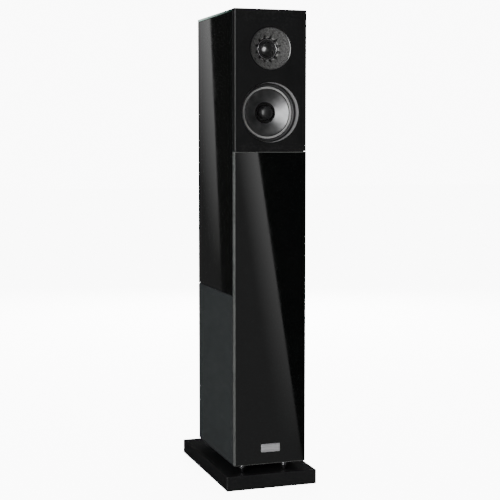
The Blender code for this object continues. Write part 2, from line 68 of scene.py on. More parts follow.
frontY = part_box("upper_baffle_cover")[0].y
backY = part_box("back_board")[1].y
tweeterAt = Vector((0, frontY, middle("tweeter_faceplate").z))
midAt = Vector((0, frontY, middle("mid_trim_ring").z))


# Camera and studio.

cameraSettings = {
    "place": (-0.82624, -2.49556, 0.72424),
    "turn": 18.476,   # degrees from straight ahead, towards +X
    "tilt": 5.213,   # degrees down
    "lens": 87.55,
}


def makeCamera():
    camera = bpy.data.objects.new("camera", bpy.data.cameras.new("camera"))
    bpy.context.scene.collection.objects.link(camera)
    camera.location = cameraSettings["place"]
    tilt = math.radians(90 - cameraSettings["tilt"])
    camera.rotation_euler = (tilt, 0, -math.radians(cameraSettings["turn"]))
    camera.data.lens = cameraSettings["lens"]
    camera.data.sensor_width = 36
    camera.data.clip_end = 50
    bpy.context.scene.camera = camera


studio = {
    "floorSize": 30,
    "skyForCamera": 10.0,
    "skyForDiffuse": 0.25,
    "skyForGloss": 0.02,
    "floorGlow": 9.4,   # for the camera only, so the floor runs out into white
    "lights": {   # place, aim, size, power, shape, seen in gloss (True, False or only there)
        "keySoftbox": ((-2.0, -2.35, 1.05), (0, -0.1, 0.8), 1.25, 60, "DISK", False),
        "glintSoftbox": ((-2.0, -2.35, 1.05), (0, -0.1, 0.8), 2.3, 160, "DISK", "only"),
        "sideSoftbox": ((-2.6, 0.3, 1.1), (0, 0, 0.6), 1.6, 14, "SQUARE", False),
        "fillSoftbox": ((2.6, -1.0, 1.6), (0, 0, 0.7), 1.6, 6, "SQUARE", False),
        "topSoftbox": ((0.0, -0.6, 3.0), (0, 0, 0.5), 1.8, 14, "SQUARE", False),
        "backSoftbox": ((0.9, 2.6, 1.5), (0, 0, 0.5), 1.6, 160, "SQUARE", False),
    },
}


def makeLight(name, place, aim, size, power, shape, inGloss):
    data = bpy.data.lights.new(name, "AREA")
    data.shape = shape
    data.size = size
    data.energy = power
    light = bpy.data.objects.new(name, data)
    bpy.context.scene.collection.objects.link(light)
    light.location = place
    light.rotation_euler = (Vector(aim) - Vector(place)).to_track_quat("-Z", "Y").to_euler()
    light.visible_camera = False
    light.visible_glossy = bool(inGloss)
    light.visible_diffuse = inGloss != "only"


def makeWorld():
    world = bpy.data.worlds.new("studio")
    world.use_nodes = True
    tree = world.node_tree
    background = tree.nodes["Background"]
    rays = tree.nodes.new("ShaderNodeLightPath")
    forGloss = tree.nodes.new("ShaderNodeMix")
    forGloss.inputs["A"].default_value = studio["skyForDiffuse"]
    forGloss.inputs["B"].default_value = studio["skyForGloss"]
    tree.links.new(rays.outputs["Is Glossy Ray"], forGloss.inputs["Factor"])
    forCamera = tree.nodes.new("ShaderNodeMix")
    forCamera.inputs["B"].default_value = studio["skyForCamera"]
    tree.links.new(forGloss.outputs["Result"], forCamera.inputs["A"])
    tree.links.new(rays.outputs["Is Camera Ray"], forCamera.inputs["Factor"])
    tree.links.new(forCamera.outputs["Result"], background.inputs["Strength"])
    background.inputs["Color"].default_value = (1, 1, 1, 1)
    bpy.context.scene.world = world


def blendCorners(corners, u, v):
    # corners run round a four-sided sheet, u along its first side and v up from it
    low = corners[0] * (1 - u) + corners[1] * u
    high = corners[3] * (1 - u) + corners[2] * u
    return low * (1 - v) + high * v


def plainSheet(name, corners, cells=1):
    shape = bmesh.new()
    bmesh.ops.create_grid(shape, x_segments=cells, y_segments=cells, size=0.5)
    for vert in shape.verts:
        vert.co = blendCorners([Vector(corner) for corner in corners], vert.co.x + 0.5, vert.co.y + 0.5)
    mesh = bpy.data.meshes.new(name)
    shape.to_mesh(mesh)
    shape.free()
    obj = bpy.data.objects.new(name, mesh)
    bpy.context.scene.collection.objects.link(obj)
    return obj


def makeFloor():
    half = studio["floorSize"] / 2
    corners = ((-half, -half, 0), (half, -half, 0), (half, half, 0), (-half, half, 0))
    floor = plainSheet("floor", corners)
    floor.visible_glossy = False   # keeps the black gloss black
    material = bpy.data.materials.new("floorPaper")
    material.use_nodes = True
    tree = material.node_tree
    shader = tree.nodes["Principled BSDF"]
    values = {
        "Base Color": (0.9, 0.9, 0.9, 1), "Roughness": 1, "Specular IOR Level": 0,
        "Emission Color": (1, 1, 1, 1),
    }
    for socket, value in values.items():
        shader.inputs[socket].default_value = value
    rays = tree.nodes.new("ShaderNodeLightPath")
    glow = tree.nodes.new("ShaderNodeMath")
    glow.operation = "MULTIPLY"
    glow.inputs[1].default_value = studio["floorGlow"]
    tree.links.new(rays.outputs["Is Camera Ray"], glow.inputs[0])
    tree.links.new(glow.outputs[0], shader.inputs["Emission Strength"])
    floor.data.materials.append(material)


# White cards seen only in the gloss of the panels: bright along their slanted edge, fading away from it.
cards = {
    "frontCard": {
        "y": -2.6, "low": (1.05, -0.9), "high": (0.7933, 0.75), "span": -0.5, "base": 0.36, "peak": 1.85,
        "peakFrom": -0.58, "peakAt": 0.67, "fade": 0.1, "fadeGrowth": 0.0,
    },
    "sideCard": {
        "y": 2.6, "low": (-0.9185, -0.35), "high": (-0.843, 1.4), "span": 0.3, "base": 0.07, "peak": 0.78,
        "peakFrom": 0.15, "peakAt": 1.25, "fade": 0.045, "fadeGrowth": 0.085,
    },
}


def makeCards():
    material = bpy.data.materials.new("cardGlow")
    material.use_nodes = True
    tree = material.node_tree
    tree.nodes.clear()
    attribute = tree.nodes.new("ShaderNodeAttribute")
    attribute.attribute_name = "glow"
    emission = tree.nodes.new("ShaderNodeEmission")
    output = tree.nodes.new("ShaderNodeOutputMaterial")
    tree.links.new(attribute.outputs["Fac"], emission.inputs["Strength"])
    tree.links.new(emission.outputs["Emission"], output.inputs["Surface"])
    for name, card in cards.items():
        low, high = (Vector((x, card["y"], z)) for x, z in (card["low"], card["high"]))
        across = Vector((card["span"], 0, 0))
        obj = plainSheet(name, (low, low + across, high + across, high), 48)
        values = []
        for vert in obj.data.vertices:
            share = (vert.co.z - low.z) / (high.z - low.z)
            away = abs(vert.co.x - (low.x + (high.x - low.x) * share))
            rise = max(0, (vert.co.z - card["peakFrom"]) / (card["peakAt"] - card["peakFrom"]))
            fade = card["fade"] + card["fadeGrowth"] * rise
            values.append(card["base"] + card["peak"] * rise * max(0, 1 - away / fade) ** 1.15)
        glow = obj.data.attributes.new("glow", "FLOAT", "POINT")
        glow.data.foreach_set("value", values)
        obj.data.materials.append(material)
        obj.visible_camera = False
        obj.visible_diffuse = False
        obj.visible_shadow = False


makeCamera()
makeWorld()
makeFloor()
makeCards()
for name, settings in studio["lights"].items():
    makeLight(name, *settings)
print("studio ready")


# Shader groups and materials.

def newGroup(name, inputs, outputs):
    tree = bpy.data.node_groups.new(name, "ShaderNodeTree")
    kinds = {"f": "NodeSocketFloat", "c": "NodeSocketColor", "v": "NodeSocketVector"}
    for socket, kind in inputs:
        tree.interface.new_socket(name=socket, in_out="INPUT", socket_type=kinds[kind])
    for socket, kind in outputs:
        tree.interface.new_socket(name=socket, in_out="OUTPUT", socket_type=kinds[kind])
    return tree, tree.nodes.new("NodeGroupInput").outputs, tree.nodes.new("NodeGroupOutput").inputs


def feed(tree, socket, value):
    # a value is set on the socket, another node's socket is linked to it
    if isinstance(value, bpy.types.NodeSocket):
        tree.links.new(value, socket)
    else:
        socket.default_value = value


def feedAll(tree, sockets, values):
    for name, value in values.items():
        feed(tree, sockets[name], value)


def math1(tree, operation, a, b=0.0, clamp=False):
    made = tree.nodes.new("ShaderNodeMath")
    made.operation = operation
    made.use_clamp = clamp
    feedAll(tree, made.inputs, {0: a, 1: b})
    return made.outputs[0]


def noiseOf(tree, vector, scale, detail=4.0, rough=0.55):
    made = tree.nodes.new("ShaderNodeTexNoise")
    feedAll(tree, made.inputs, {"Vector": vector, "Scale": scale, "Detail": detail, "Roughness": rough})
    return made.outputs["Fac"]


def rangeOf(tree, value, low, high, toLow=0.0, toHigh=1.0):
    made = tree.nodes.new("ShaderNodeMapRange")
    for socket, given in zip(made.inputs, (value, low, high, toLow, toHigh)):
        feed(tree, socket, given)
    return made.outputs["Result"]


def mixColour(tree, factor, a, b):
    made = tree.nodes.new("ShaderNodeMix")
    made.data_type = "RGBA"
    feedAll(tree, made.inputs, {0: factor, 6: a, 7: b})
    return made.outputs[2]


def bumpOf(tree, height, depth):
    made = tree.nodes.new("ShaderNodeBump")
    feedAll(tree, made.inputs, {"Height": height, "Distance": depth, "Strength": 1})
    return made.outputs["Normal"]


surfaceInputs = (("Vector", "v"), ("Dark", "c"), ("Light", "c"), ("Low Roughness", "f"),
                 ("High Roughness", "f"), ("Depth", "f"))
surfaceOutputs = (("Colour", "c"), ("Roughness", "f"), ("Normal", "v"))


def makeGrainGroup():
    # fine grain with slow smudges in colour and roughness
    tree, given, out = newGroup("surfaceGrain", (("Scale", "f"), *surfaceInputs), surfaceOutputs)
    grain = noiseOf(tree, given["Vector"], given["Scale"], 6.0)
    smudge = noiseOf(tree, given["Vector"], 14.0, 5.0, 0.6)
    blend = math1(tree, "ADD", math1(tree, "MULTIPLY", grain, 0.5), math1(tree, "MULTIPLY", smudge, 0.5))
    spread = rangeOf(tree, blend, 0.35, 0.65)
    feedAll(tree, out, {
        "Colour": mixColour(tree, spread, given["Dark"], given["Light"]),
        "Roughness": rangeOf(tree, blend, 0.35, 0.65, given["Low Roughness"], given["High Roughness"]),
        "Normal": bumpOf(tree, grain, given["Depth"]),
    })
    return tree


def makeWearGroup():
    # rubbed edges, broken up by a fleck
    inputs = (("Vector", "v"), ("Base", "c"), ("Worn", "c"), ("Amount", "f"))
    tree, given, out = newGroup("edgeWear", inputs, (("Colour", "c"),))
    shape = tree.nodes.new("ShaderNodeNewGeometry")
    edge = rangeOf(tree, shape.outputs["Pointiness"], 0.52, 0.6)
    fleck = rangeOf(tree, noiseOf(tree, given["Vector"], 220.0, 6.0), 0.45, 0.7)
    mask = math1(tree, "MULTIPLY", math1(tree, "MULTIPLY", edge, fleck), given["Amount"], clamp=True)
    tree.links.new(mixColour(tree, mask, given["Base"], given["Worn"]), out["Colour"])
    return tree


def makeSpunGroup():
    # fine turning lines about the local Z of the vector, which runs through the piece's centre
    tree, given, out = newGroup("spunMetal", surfaceInputs, surfaceOutputs)
    flat = tree.nodes.new("ShaderNodeVectorMath")
    flat.operation = "MULTIPLY"
    feedAll(tree, flat.inputs, {0: given["Vector"], 1: (1, 1, 0)})
    length = tree.nodes.new("ShaderNodeVectorMath")
    length.operation = "LENGTH"
    feed(tree, length.inputs[0], flat.outputs[0])
    ringPlace = tree.nodes.new("ShaderNodeCombineXYZ")
    feed(tree, ringPlace.inputs[0], length.outputs["Value"])
    rings = noiseOf(tree, ringPlace.outputs[0], 1400.0, 3.0)
    haze = noiseOf(tree, given["Vector"], 60.0, 4.0)
    both = math1(tree, "ADD", math1(tree, "MULTIPLY", rings, 0.6), math1(tree, "MULTIPLY", haze, 0.4))
    feedAll(tree, out, {
        "Colour": mixColour(tree, rangeOf(tree, haze, 0.35, 0.65), given["Dark"], given["Light"]),
        "Roughness": rangeOf(tree, both, 0.35, 0.65, given["Low Roughness"], given["High Roughness"]),
        "Normal": bumpOf(tree, rings, given["Depth"]),
    })
    return tree


def makeWeaveGroup():
    # plain weave in the YZ plane, with slubs: threads pass over and under each other
    tree, given, out = newGroup(
        "sideWeave", (("Vector", "v"), ("Pitch", "f"), ("Depth", "f"), ("Dark", "c"), ("Light", "c")),
        (("Colour", "c"), ("Normal", "v"), ("Height", "f")),
    )
    parts = tree.nodes.new("ShaderNodeSeparateXYZ")
    tree.links.new(given["Vector"], parts.inputs[0])
    waves = []
    for axis in (1, 2):
        turns = math1(tree, "DIVIDE", parts.outputs[axis], given["Pitch"])
        waves.append(math1(tree, "SINE", math1(tree, "MULTIPLY", turns, math.pi)))
    over = math1(tree, "MULTIPLY", waves[0], waves[1])
    threads = math1(tree, "ABSOLUTE", over)
    slub = noiseOf(tree, given["Vector"], 700.0, 3.0)
    height = math1(tree, "ADD", math1(tree, "MULTIPLY", threads, 0.75), math1(tree, "MULTIPLY", slub, 0.25))
    cloud = noiseOf(tree, given["Vector"], 18.0, 4.0)
    fleck = noiseOf(tree, given["Vector"], 330.0, 2.0)
    tone = math1(tree, "ADD", math1(tree, "MULTIPLY", height, 0.35), math1(tree, "MULTIPLY", cloud, 0.15))
    tone = math1(tree, "ADD", tone, math1(tree, "MULTIPLY", fleck, 0.5))
    feedAll(tree, out, {
        "Colour": mixColour(tree, rangeOf(tree, tone, 0.25, 0.75), given["Dark"], given["Light"]),
        "Normal": bumpOf(tree, height, given["Depth"]),
        "Height": height,
    })
    return tree


groups = {
    "grain": makeGrainGroup(),
    "wear": makeWearGroup(),
    "spun": makeSpunGroup(),
    "weave": makeWeaveGroup(),
}


def newMaterial(name, sockets):
    # sockets set the shader's own constants by name
    material = bpy.data.materials.new(name)
    material.use_nodes = True
    tree = material.node_tree
    shader = tree.nodes["Principled BSDF"]
    for socket, value in sockets.items():
        shader.inputs[socket].default_value = value
    coordinates = tree.nodes.new("ShaderNodeTexCoord").outputs["Object"]
    return material, tree, shader, coordinates


def placeGroup(tree, name, values):
    made = tree.nodes.new("ShaderNodeGroup")
    made.node_tree = groups[name]
    feedAll(tree, made.inputs, values)
    return made.outputs


def coat(tree, shader, colour, rough, normal):
    feedAll(tree, shader.inputs, {"Base Color": colour, "Roughness": rough, "Normal": normal})


def colourOf(value):
    # a number stands for a grey
    return (*value, 1) if isinstance(value, tuple) else (value, value, value, 1)


def grainMaterial(name, dark, light, roughness, scale, depth, others=()):
    sockets = dict(others)
    worn, wear = sockets.pop("worn", None), sockets.pop("wear", 0)
    material, tree, shader, coordinates = newMaterial(name, sockets)
    grain = placeGroup(tree, "grain", {
        "Vector": coordinates, "Scale": scale, "Dark": colourOf(dark), "Light": colourOf(light),
        "Low Roughness": roughness[0], "High Roughness": roughness[1], "Depth": depth,
    })
    colour = grain["Colour"]
    if worn:
        values = {"Vector": coordinates, "Base": colour, "Worn": colourOf(worn), "Amount": wear}
        colour = placeGroup(tree, "wear", values)["Colour"]
    coat(tree, shader, colour, grain["Roughness"], grain["Normal"])
    return material


def spunMaterial(name, dark, light, roughness, depth, centre, facing, metallic):
    material, tree, shader, coordinates = newMaterial(name, {"Metallic": metallic})
    mapping = tree.nodes.new("ShaderNodeMapping")   # brings the piece's axis onto the pattern's Z
    mapping.vector_type = "TEXTURE"
    turn = turnTo[facing].to_euler()
    feedAll(tree, mapping.inputs, {"Vector": coordinates, "Location": centre, "Rotation": turn})
    spun = placeGroup(tree, "spun", {
        "Vector": mapping.outputs[0], "Dark": colourOf(dark), "Light": colourOf(light),
        "Low Roughness": roughness[0], "High Roughness": roughness[1], "Depth": depth,
    })
    coat(tree, shader, spun["Colour"], spun["Roughness"], spun["Normal"])
    return material


def castingMaterial(name, pale, deep, cellScale, depth):
    # hammered casting: soft cells, darker in their hollows, with flecks
    material, tree, shader, coordinates = newMaterial(name, {"Specular IOR Level": 0.12})
    cells = tree.nodes.new("ShaderNodeTexVoronoi")
    cells.feature = "SMOOTH_F1"
    feedAll(tree, cells.inputs, {"Vector": coordinates, "Scale": cellScale})
    fleck = noiseOf(tree, coordinates, 900.0, 5.0)
    height = math1(tree, "ADD", cells.outputs["Distance"], math1(tree, "MULTIPLY", fleck, 0.45))
    tone = rangeOf(tree, height, 0.35, 1.0)
    colour = mixColour(tree, tone, colourOf(pale), colourOf(deep))
    coat(tree, shader, colour, rangeOf(tree, height, 0.3, 1.0, 0.38, 0.62), bumpOf(tree, height, depth))
    return material


def weaveMaterial(name, dark, light, pitch, depth):
    sheen = {"Sheen Weight": 0.06, "Sheen Roughness": 0.5, "Sheen Tint": (0.7, 0.8, 0.82, 1)}
    material, tree, shader, coordinates = newMaterial(name, {**sheen, "Specular IOR Level": 0.15})
    weave = placeGroup(tree, "weave", {
        "Vector": coordinates, "Pitch": pitch, "Depth": depth,
        "Dark": colourOf(dark), "Light": colourOf(light),
    })
    coat(tree, shader, weave["Colour"], rangeOf(tree, weave["Height"], 0.0, 1.0, 0.95, 0.75), weave["Normal"])
    return material


def brushedMaterial(name, dark, light, roughness, depth):
    # hairlines along X
    material, tree, shader, coordinates = newMaterial(name, {"Metallic": 0.4})
    mapping = tree.nodes.new("ShaderNodeMapping")
    feedAll(tree, mapping.inputs, {"Vector": coordinates, "Scale": (20, 1500, 1500)})
    lines = noiseOf(tree, mapping.outputs[0], 1.0, 4.0)
    colour = mixColour(tree, lines, colourOf(dark), colourOf(light))
    coat(tree, shader, colour, rangeOf(tree, lines, 0.3, 0.7, *roughness), bumpOf(tree, lines, depth))
    return material


def reflectedEdgeMaterial(name, front, back):
    # green glass seen edge on, with a painted reflection of the pale surroundings, from one colour at the
    # front to another at the back
    material, tree, shader, coordinates = newMaterial(name, {"IOR": 1.5})
    parts = tree.nodes.new("ShaderNodeSeparateXYZ")
    tree.links.new(coordinates, parts.inputs[0])
    along = rangeOf(tree, parts.outputs[1], frontY + 0.03, backY)
    streak = noiseOf(tree, coordinates, 90.0, 3.0)
    share = math1(tree, "MULTIPLY", along, rangeOf(tree, streak, 0.2, 0.5, 0.75, 1.0), clamp=True)
    colour = mixColour(tree, share, colourOf(front), colourOf(back))
    rough = rangeOf(tree, streak, 0.3, 0.7, 0.1, 0.22)
    feedAll(tree, shader.inputs, {"Base Color": colour, "Roughness": rough})
    return material


# Dark and light colour, roughness range, grain scale and bump depth, then other settings.
grains = {
    "plinthLacquer": ((0.0065, 0.0065, 0.007), (0.0105, 0.0105, 0.011), (0.34, 0.46), 900, 0.00002,
                      {"worn": 0.08, "wear": 0.25, "Specular IOR Level": 0.4}),
    "padRubber": (0.01, 0.022, (0.75, 0.9), 1500, 0.00005),
    "footSteel": ((0.3, 0.3, 0.31), (0.42, 0.42, 0.43), (0.18, 0.32), 1200, 0.00001, {"Metallic": 1}),
    "paintedBoard": (0.012, 0.022, (0.5, 0.7), 700, 0.00008, {"worn": (0.07, 0.06, 0.05), "wear": 0.3}),
    "rawBoard": ((0.26, 0.17, 0.1), (0.4, 0.29, 0.18), (0.8, 0.95), 900, 0.0001),
    "baffleSkin": ((0.004, 0.004, 0.0042), (0.0075, 0.0075, 0.0078), (0.55, 0.7), 1300, 0.00006,
                   {"worn": 0.05, "wear": 0.2, "Specular IOR Level": 0.13}),
    "baffleEdge": (0.004, 0.007, (0.4, 0.54), 1300, 0.00004, {"Specular IOR Level": 0.35}),
    "blackGlass": ((0.0016, 0.0019, 0.0018), (0.0026, 0.003, 0.0029), (0.015, 0.035), 60, 0, {"IOR": 1.5}),
    "glassEdge": ((0.004, 0.0065, 0.006), (0.007, 0.011, 0.01), (0.14, 0.26), 300, 0.00001, {"IOR": 1.5}),
    "polishedEdge": ((0.075, 0.078, 0.075), (0.125, 0.13, 0.125), (0.22, 0.36), 500, 0.00001),
    # black for the tweeter's ring, and painted shade in the midrange cone's neck and under its rim ring
    "blackAndPaintedNeckShade": (0.012, 0.02, (0.22, 0.32), 900, 0.00001),
    # painted shadow for the midrange trim's foot and lip
    "shadowBlack": (0.003, 0.006, (0.4, 0.6), 900, 0.00002),
    # painted shade for the tweeter plate's notches
    "notchPaintedShade": (0.01, 0.018, (0.4, 0.52), 900, 0.00002, {"Specular IOR Level": 0.25}),
    "flareGrey": ((0.19, 0.19, 0.187), (0.26, 0.26, 0.256), (0.34, 0.46), 900, 0.00002,
                  {"Specular IOR Level": 0.25}),
    "rimMetal": (0.2, 0.28, (0.28, 0.4), 900, 0.00002, {"Metallic": 1}),
    "beadMetal": (0.78, 0.86, (0.26, 0.36), 500, 0.000005, {"Metallic": 1}),
    "domeGloss": (0.004, 0.008, (0.28, 0.34), 800, 0.000008, {"IOR": 2.1}),
    "surroundRubber": ((0.022, 0.022, 0.023), (0.034, 0.034, 0.036), (0.34, 0.46), 1500, 0.00002),
    "basketPaint": (0.02, 0.04, (0.4, 0.55), 1100, 0.00005, {"worn": 0.25, "wear": 0.2}),
    "magnetPlating": ((0.06, 0.06, 0.062), (0.11, 0.11, 0.112), (0.3, 0.5), 500, 0.00002, {"Metallic": 0.9}),
    "spiderCloth": ((0.38, 0.24, 0.07), (0.55, 0.38, 0.14), (0.8, 0.95), 1600, 0.00008),
    "framePlastic": (0.014, 0.022, (0.5, 0.65), 1400, 0.00005),
    "portPlastic": (0.01, 0.018, (0.32, 0.46), 1500, 0.00003),
    "terminalPlastic": (0.011, 0.019, (0.36, 0.5), 1200, 0.00004),
    "brassPlate": ((0.72, 0.5, 0.2), (0.85, 0.64, 0.3), (0.14, 0.26), 900, 0.00001, {"Metallic": 1}),
    "knobRed": ((0.3, 0.008, 0.008), (0.42, 0.016, 0.014), (0.22, 0.34), 900, 0.00001,
                {"worn": (0.5, 0.1, 0.1), "wear": 0.3}),
    "knobBlack": (0.01, 0.018, (0.22, 0.34), 900, 0.00001, {"worn": 0.1, "wear": 0.3}),
    "screwSteel": (0.05, 0.09, (0.25, 0.4), 900, 0.00001, {"Metallic": 0.9}),
    "boardGreen": ((0.015, 0.085, 0.03), (0.03, 0.13, 0.05), (0.35, 0.5), 500, 0.00002),
    "copperWire": ((0.55, 0.22, 0.1), (0.72, 0.33, 0.17), (0.22, 0.35), 1500, 0.0001, {"Metallic": 1}),
    "capacitorWrap": ((0.42, 0.34, 0.06), (0.55, 0.46, 0.12), (0.3, 0.42), 300, 0.00001),
}
finishes = {name: grainMaterial(name, *settings) for name, settings in grains.items()}
for made in (
    brushedMaterial("badgeSilver", (0.44, 0.44, 0.45), (0.62, 0.62, 0.63), (0.22, 0.38), 0.00001),
    castingMaterial("hammeredCasting", (0.135, 0.135, 0.132), 0.026, 430, 0.0008),
    # the top glass's edges: green glass with a painted reflection, dark at the front and pale at the back
    reflectedEdgeMaterial("topEdgeReflection", (0.006, 0.03, 0.022), (0.62, 0.86, 0.76)),
    weaveMaterial("grilleCloth", (0.0018, 0.0023, 0.0025), (0.0215, 0.025, 0.0262), 0.0011, 0.00045),
):
    finishes[made.name] = made
print("materials ready")


# Mesh helpers.

def rounded(corners, segments=4):
    # corners are (radius, height, fillet); a fillet of 0 keeps the corner sharp
    points = []
    count = len(corners)
    for i, (radius, height, fillet) in enumerate(corners):
        here = Vector((radius, height))
        if fillet == 0 or i in (0, count - 1) and corners[0][0] == 0:
            points.append(here)
            continue
        before = Vector(corners[i - 1][:2]) - here
        after = Vector(corners[(i + 1) % count][:2]) - here
        half = before.angle(after) / 2
        if half > math.radians(88):
            points.append(here)
            continue
        reach = min(fillet / math.tan(half), before.length * 0.49, after.length * 0.49)
        fillet = reach * math.tan(half)
        before.normalize()
        after.normalize()
        centre = here + (before + after).normalized() * (fillet / math.sin(half))
        start, end = here + before * reach - centre, here + after * reach - centre
        for step in range(segments + 1):
            points.append(centre + start.slerp(end, step / segments).normalized() * fillet)
    return points


def arcPoints(centre, radius, start, end, count):
    angles = [math.radians(start + (end - start) * i / count) for i in range(count + 1)]
    return [Vector((centre[0] + radius * math.cos(a), centre[1] + radius * math.sin(a))) for a in angles]


def spinBmesh(points, steps, closed=True):
    shape = bmesh.new()
    verts = [shape.verts.new((p[0], 0, p[1])) for p in points]
    edges = [shape.edges.new(pair) for pair in zip(verts, verts[1:])]
    if closed:
        edges.append(shape.edges.new((verts[-1], verts[0])))
    bmesh.ops.spin(shape, geom=verts + edges, angle=2 * math.pi, steps=steps, axis=(0, 0, 1), cent=(0, 0, 0),
                   use_merge=True)
    bmesh.ops.remove_doubles(shape, verts=shape.verts, dist=0.000005)
    bmesh.ops.recalc_face_normals(shape, faces=shape.faces)
    return shape


def finishPiece(name, shape, material, body, replaces=(), sharp=32, extra=(), broad=0.00002):
    # the mesh is already in its place in the frame; faces over the broad area stay flat, so they mirror true
    mesh = bpy.data.meshes.new(name)
    shape.to_mesh(mesh)
    shape.free()
    for one in (material, *extra):
        mesh.materials.append(finishes[one] if isinstance(one, str) else one)
    mesh.shade_smooth()
    mesh.set_sharp_from_angle(angle=math.radians(sharp))
    for face in mesh.polygons:
        if face.area > broad:
            face.use_smooth = False
    obj = bpy.data.objects.new(name, mesh)
    bpy.context.scene.collection.objects.link(obj)
    if body:
        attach(obj, body)
    if replaces:
        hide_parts(*replaces)
    return obj


def turnedPiece(name, points, place, facing, material, body, replaces=(), steps=96,
                change=None, closed=True, sharp=32, extra=()):
    shape = spinBmesh(points, steps, closed)
    if change:
        change(shape)
    bmesh.ops.transform(shape, matrix=Matrix.Translation(place) @ turnTo[facing], verts=shape.verts)
    return finishPiece(name, shape, material, body, replaces, sharp, extra, broad=1)


def paintFaces(obj, place, choose):
    # choose(spot) gives a face's material number from its middle, measured from the piece's place
    for face in obj.data.polygons:
        face.material_index = choose(face.center - place)


def bevelEdges(shape, edges, width, segments):
    bmesh.ops.bevel(shape, geom=edges, offset=width, segments=segments, profile=0.5, affect="EDGES",
                    material=-1)


def roundBox(low, high, bevels):
    # bevels is a list of (width, segments, wanted(axis, centre)), with the edge's centre in half sizes
    low, high = Vector(low), Vector(high)
    size, centre = high - low, (high + low) / 2
    shape = bmesh.new()
    bmesh.ops.create_cube(shape, size=1)
    bmesh.ops.scale(shape, vec=size, verts=shape.verts)
    for width, segments, wanted in bevels:
        chosen = []
        for edge in shape.edges:
            along = edge.verts[1].co - edge.verts[0].co
            axis = max(range(3), key=lambda i: abs(along[i]))
            spot = [(edge.verts[0].co[i] + edge.verts[1].co[i]) / size[i] for i in range(3)]
            if abs(along[axis]) > 0.5 * size[axis] and wanted(axis, spot):
                chosen.append(edge)
        bevelEdges(shape, chosen, width, segments)
    bmesh.ops.translate(shape, vec=centre, verts=shape.verts)
    return shape


def flexPiece(name, node, points, place, facing, material, steps):
    # a flexible ring, baked in place and put in no body, so it stays still
    obj = turnedPiece(name, points, place, facing, material, None, steps=steps)
    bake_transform(obj)
    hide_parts(node)


spiders = {"waves": 4, "depth": 0.0008, "cloth": 0.0005, "foot": (0.0002, 0.0016), "rows": 32}


def makeSpider(name, node, place, facing, inner, outer, height, foot):
    # a corrugated disc with a foot at its edge
    depth, rows = spiders["depth"], spiders["rows"]
    turn = 2 * math.pi * spiders["waves"] / rows
    top = [Vector((inner + (outer - inner) * i / rows, height - depth + depth * math.cos(turn * i)))
           for i in range(rows + 1)]
    under = [Vector((p.x, p.y - spiders["cloth"])) for p in reversed(top)]
    footIn, footOut = (outer + reach for reach in spiders["foot"])
    heel = [(footOut, height - 0.0001), (footOut, foot), (footIn, foot), (footIn, height - 0.0007)]
    flexPiece(name, node, top + heel + under[1:], place, facing, "spiderCloth", 72)


def screwHead(name, place, facing, radius, body):
    # a pan head with a round socket
    points = rounded([
        (0, radius * 0.25, 0), (radius * 0.42, radius * 0.25, 0), (radius * 0.46, radius * 0.62, 0),
        (radius * 0.95, radius * 0.4, radius * 0.2), (radius, 0, 0), (0, 0, 0),
    ], 2)
    turnedPiece(name, points, place, facing, "screwSteel", body, steps=20, closed=False)


# Plinth and feet.

plinth = {"edge": 0.0022, "padGroove": 0.0006, "padRound": 0.0007, "footTip": 0.0026, "footCollar": 0.003}


def makePad(number):
    low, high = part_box(f"plinth_pad_{number}")
    radius, height, groove = (high.x - low.x) / 2, high.z, plinth["padGroove"]
    small = groove / 3
    points = rounded([
        (0, height, 0), (radius, height, 0), (radius, 0, plinth["padRound"]), (radius * 0.72, 0, small),
        (radius * 0.7, groove, small), (radius * 0.6, groove, small), (radius * 0.58, 0, small), (0, 0, 0),
    ], 3)
    centre = ((high.x + low.x) / 2, (high.y + low.y) / 2, 0)
    turnedPiece(f"plinthPad{number}", points, centre, "up", "padRubber", "cabinet", [f"plinth_pad_{number}"],
                steps=48, closed=False)


def makeFoot(number):
    # a collar with a groove under it, then the cone down to a blunt tip
    low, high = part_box(f"cone_foot_{number}")
    top, radius, tip = high.z - low.z, (high.x - low.x) / 2, plinth["footTip"]
    collar = top - plinth["footCollar"]
    points = rounded([
        (0, top, 0), (radius, top, 0.0004), (radius, collar, 0.0003),
        (radius * 0.9, collar - 0.0004, 0.0002), (radius * 0.9, collar - 0.0012, 0.0002),
        (radius * 0.97, collar - 0.0016, 0.0003),
        (tip + 0.0006, 0.0012, 0.0008), (tip, 0, 0.0004), (0, 0, 0),
    ], 4)
    centre = ((high.x + low.x) / 2, (high.y + low.y) / 2, low.z)
    turnedPiece(f"coneFoot{number}", points, centre, "up", "footSteel", "cabinet", [f"cone_foot_{number}"],
                steps=64, closed=False)


def makePlinth():
    shape = roundBox(*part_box("plinth_board"), [(plinth["edge"], 4, lambda axis, spot: True)])
    finishPiece("plinthBoard", shape, "plinthLacquer", "cabinet", ["plinth_board"])
    for number in range(1, 5):
        makePad(number)
        makeFoot(number)


makePlinth()
print("base ready")


# Panels and badge.

panels = {"corner": 0.0026, "edge": 0.0009, "polished": 0.0016, "lip": 0.0007, "ringSteps": 96, "gap": 0.0003}
badge = {"corner": 0.0018, "rim": 0.0004, "border": 0.0009, "groove": 0.0003, "grooveDepth": 0.00025}


def ringToRectangle(shape, centre, radius, low, high, steps):
    # a flat cell in XZ from a circle out to a rectangle; the nearest point goes to each corner
    made = bmesh.ops.create_circle(shape, cap_ends=False, segments=steps, radius=radius,
                                   matrix=Matrix.Translation(centre) @ turnTo["front"])
    inner = made["verts"]
    edges = list({edge for vert in inner for edge in vert.link_edges})
    grown = bmesh.ops.extrude_edge_only(shape, edges=edges)["geom"]
    outer = [item for item in grown if isinstance(item, bmesh.types.BMVert)]
    for vert in outer:
        reach = vert.co - centre
        spans = []
        for axis in (0, 2):
            if abs(reach[axis]) > 1e-9:
                limit = high[axis] - centre[axis] if reach[axis] > 0 else centre[axis] - low[axis]
                spans.append(limit / abs(reach[axis]))
        vert.co = centre + reach * min(spans)
    for x in (low[0], high[0]):
        for z in (low[2], high[2]):
            corner = Vector((x, centre.y, z))
            min(outer, key=lambda vert: (vert.co - corner).length).co = corner


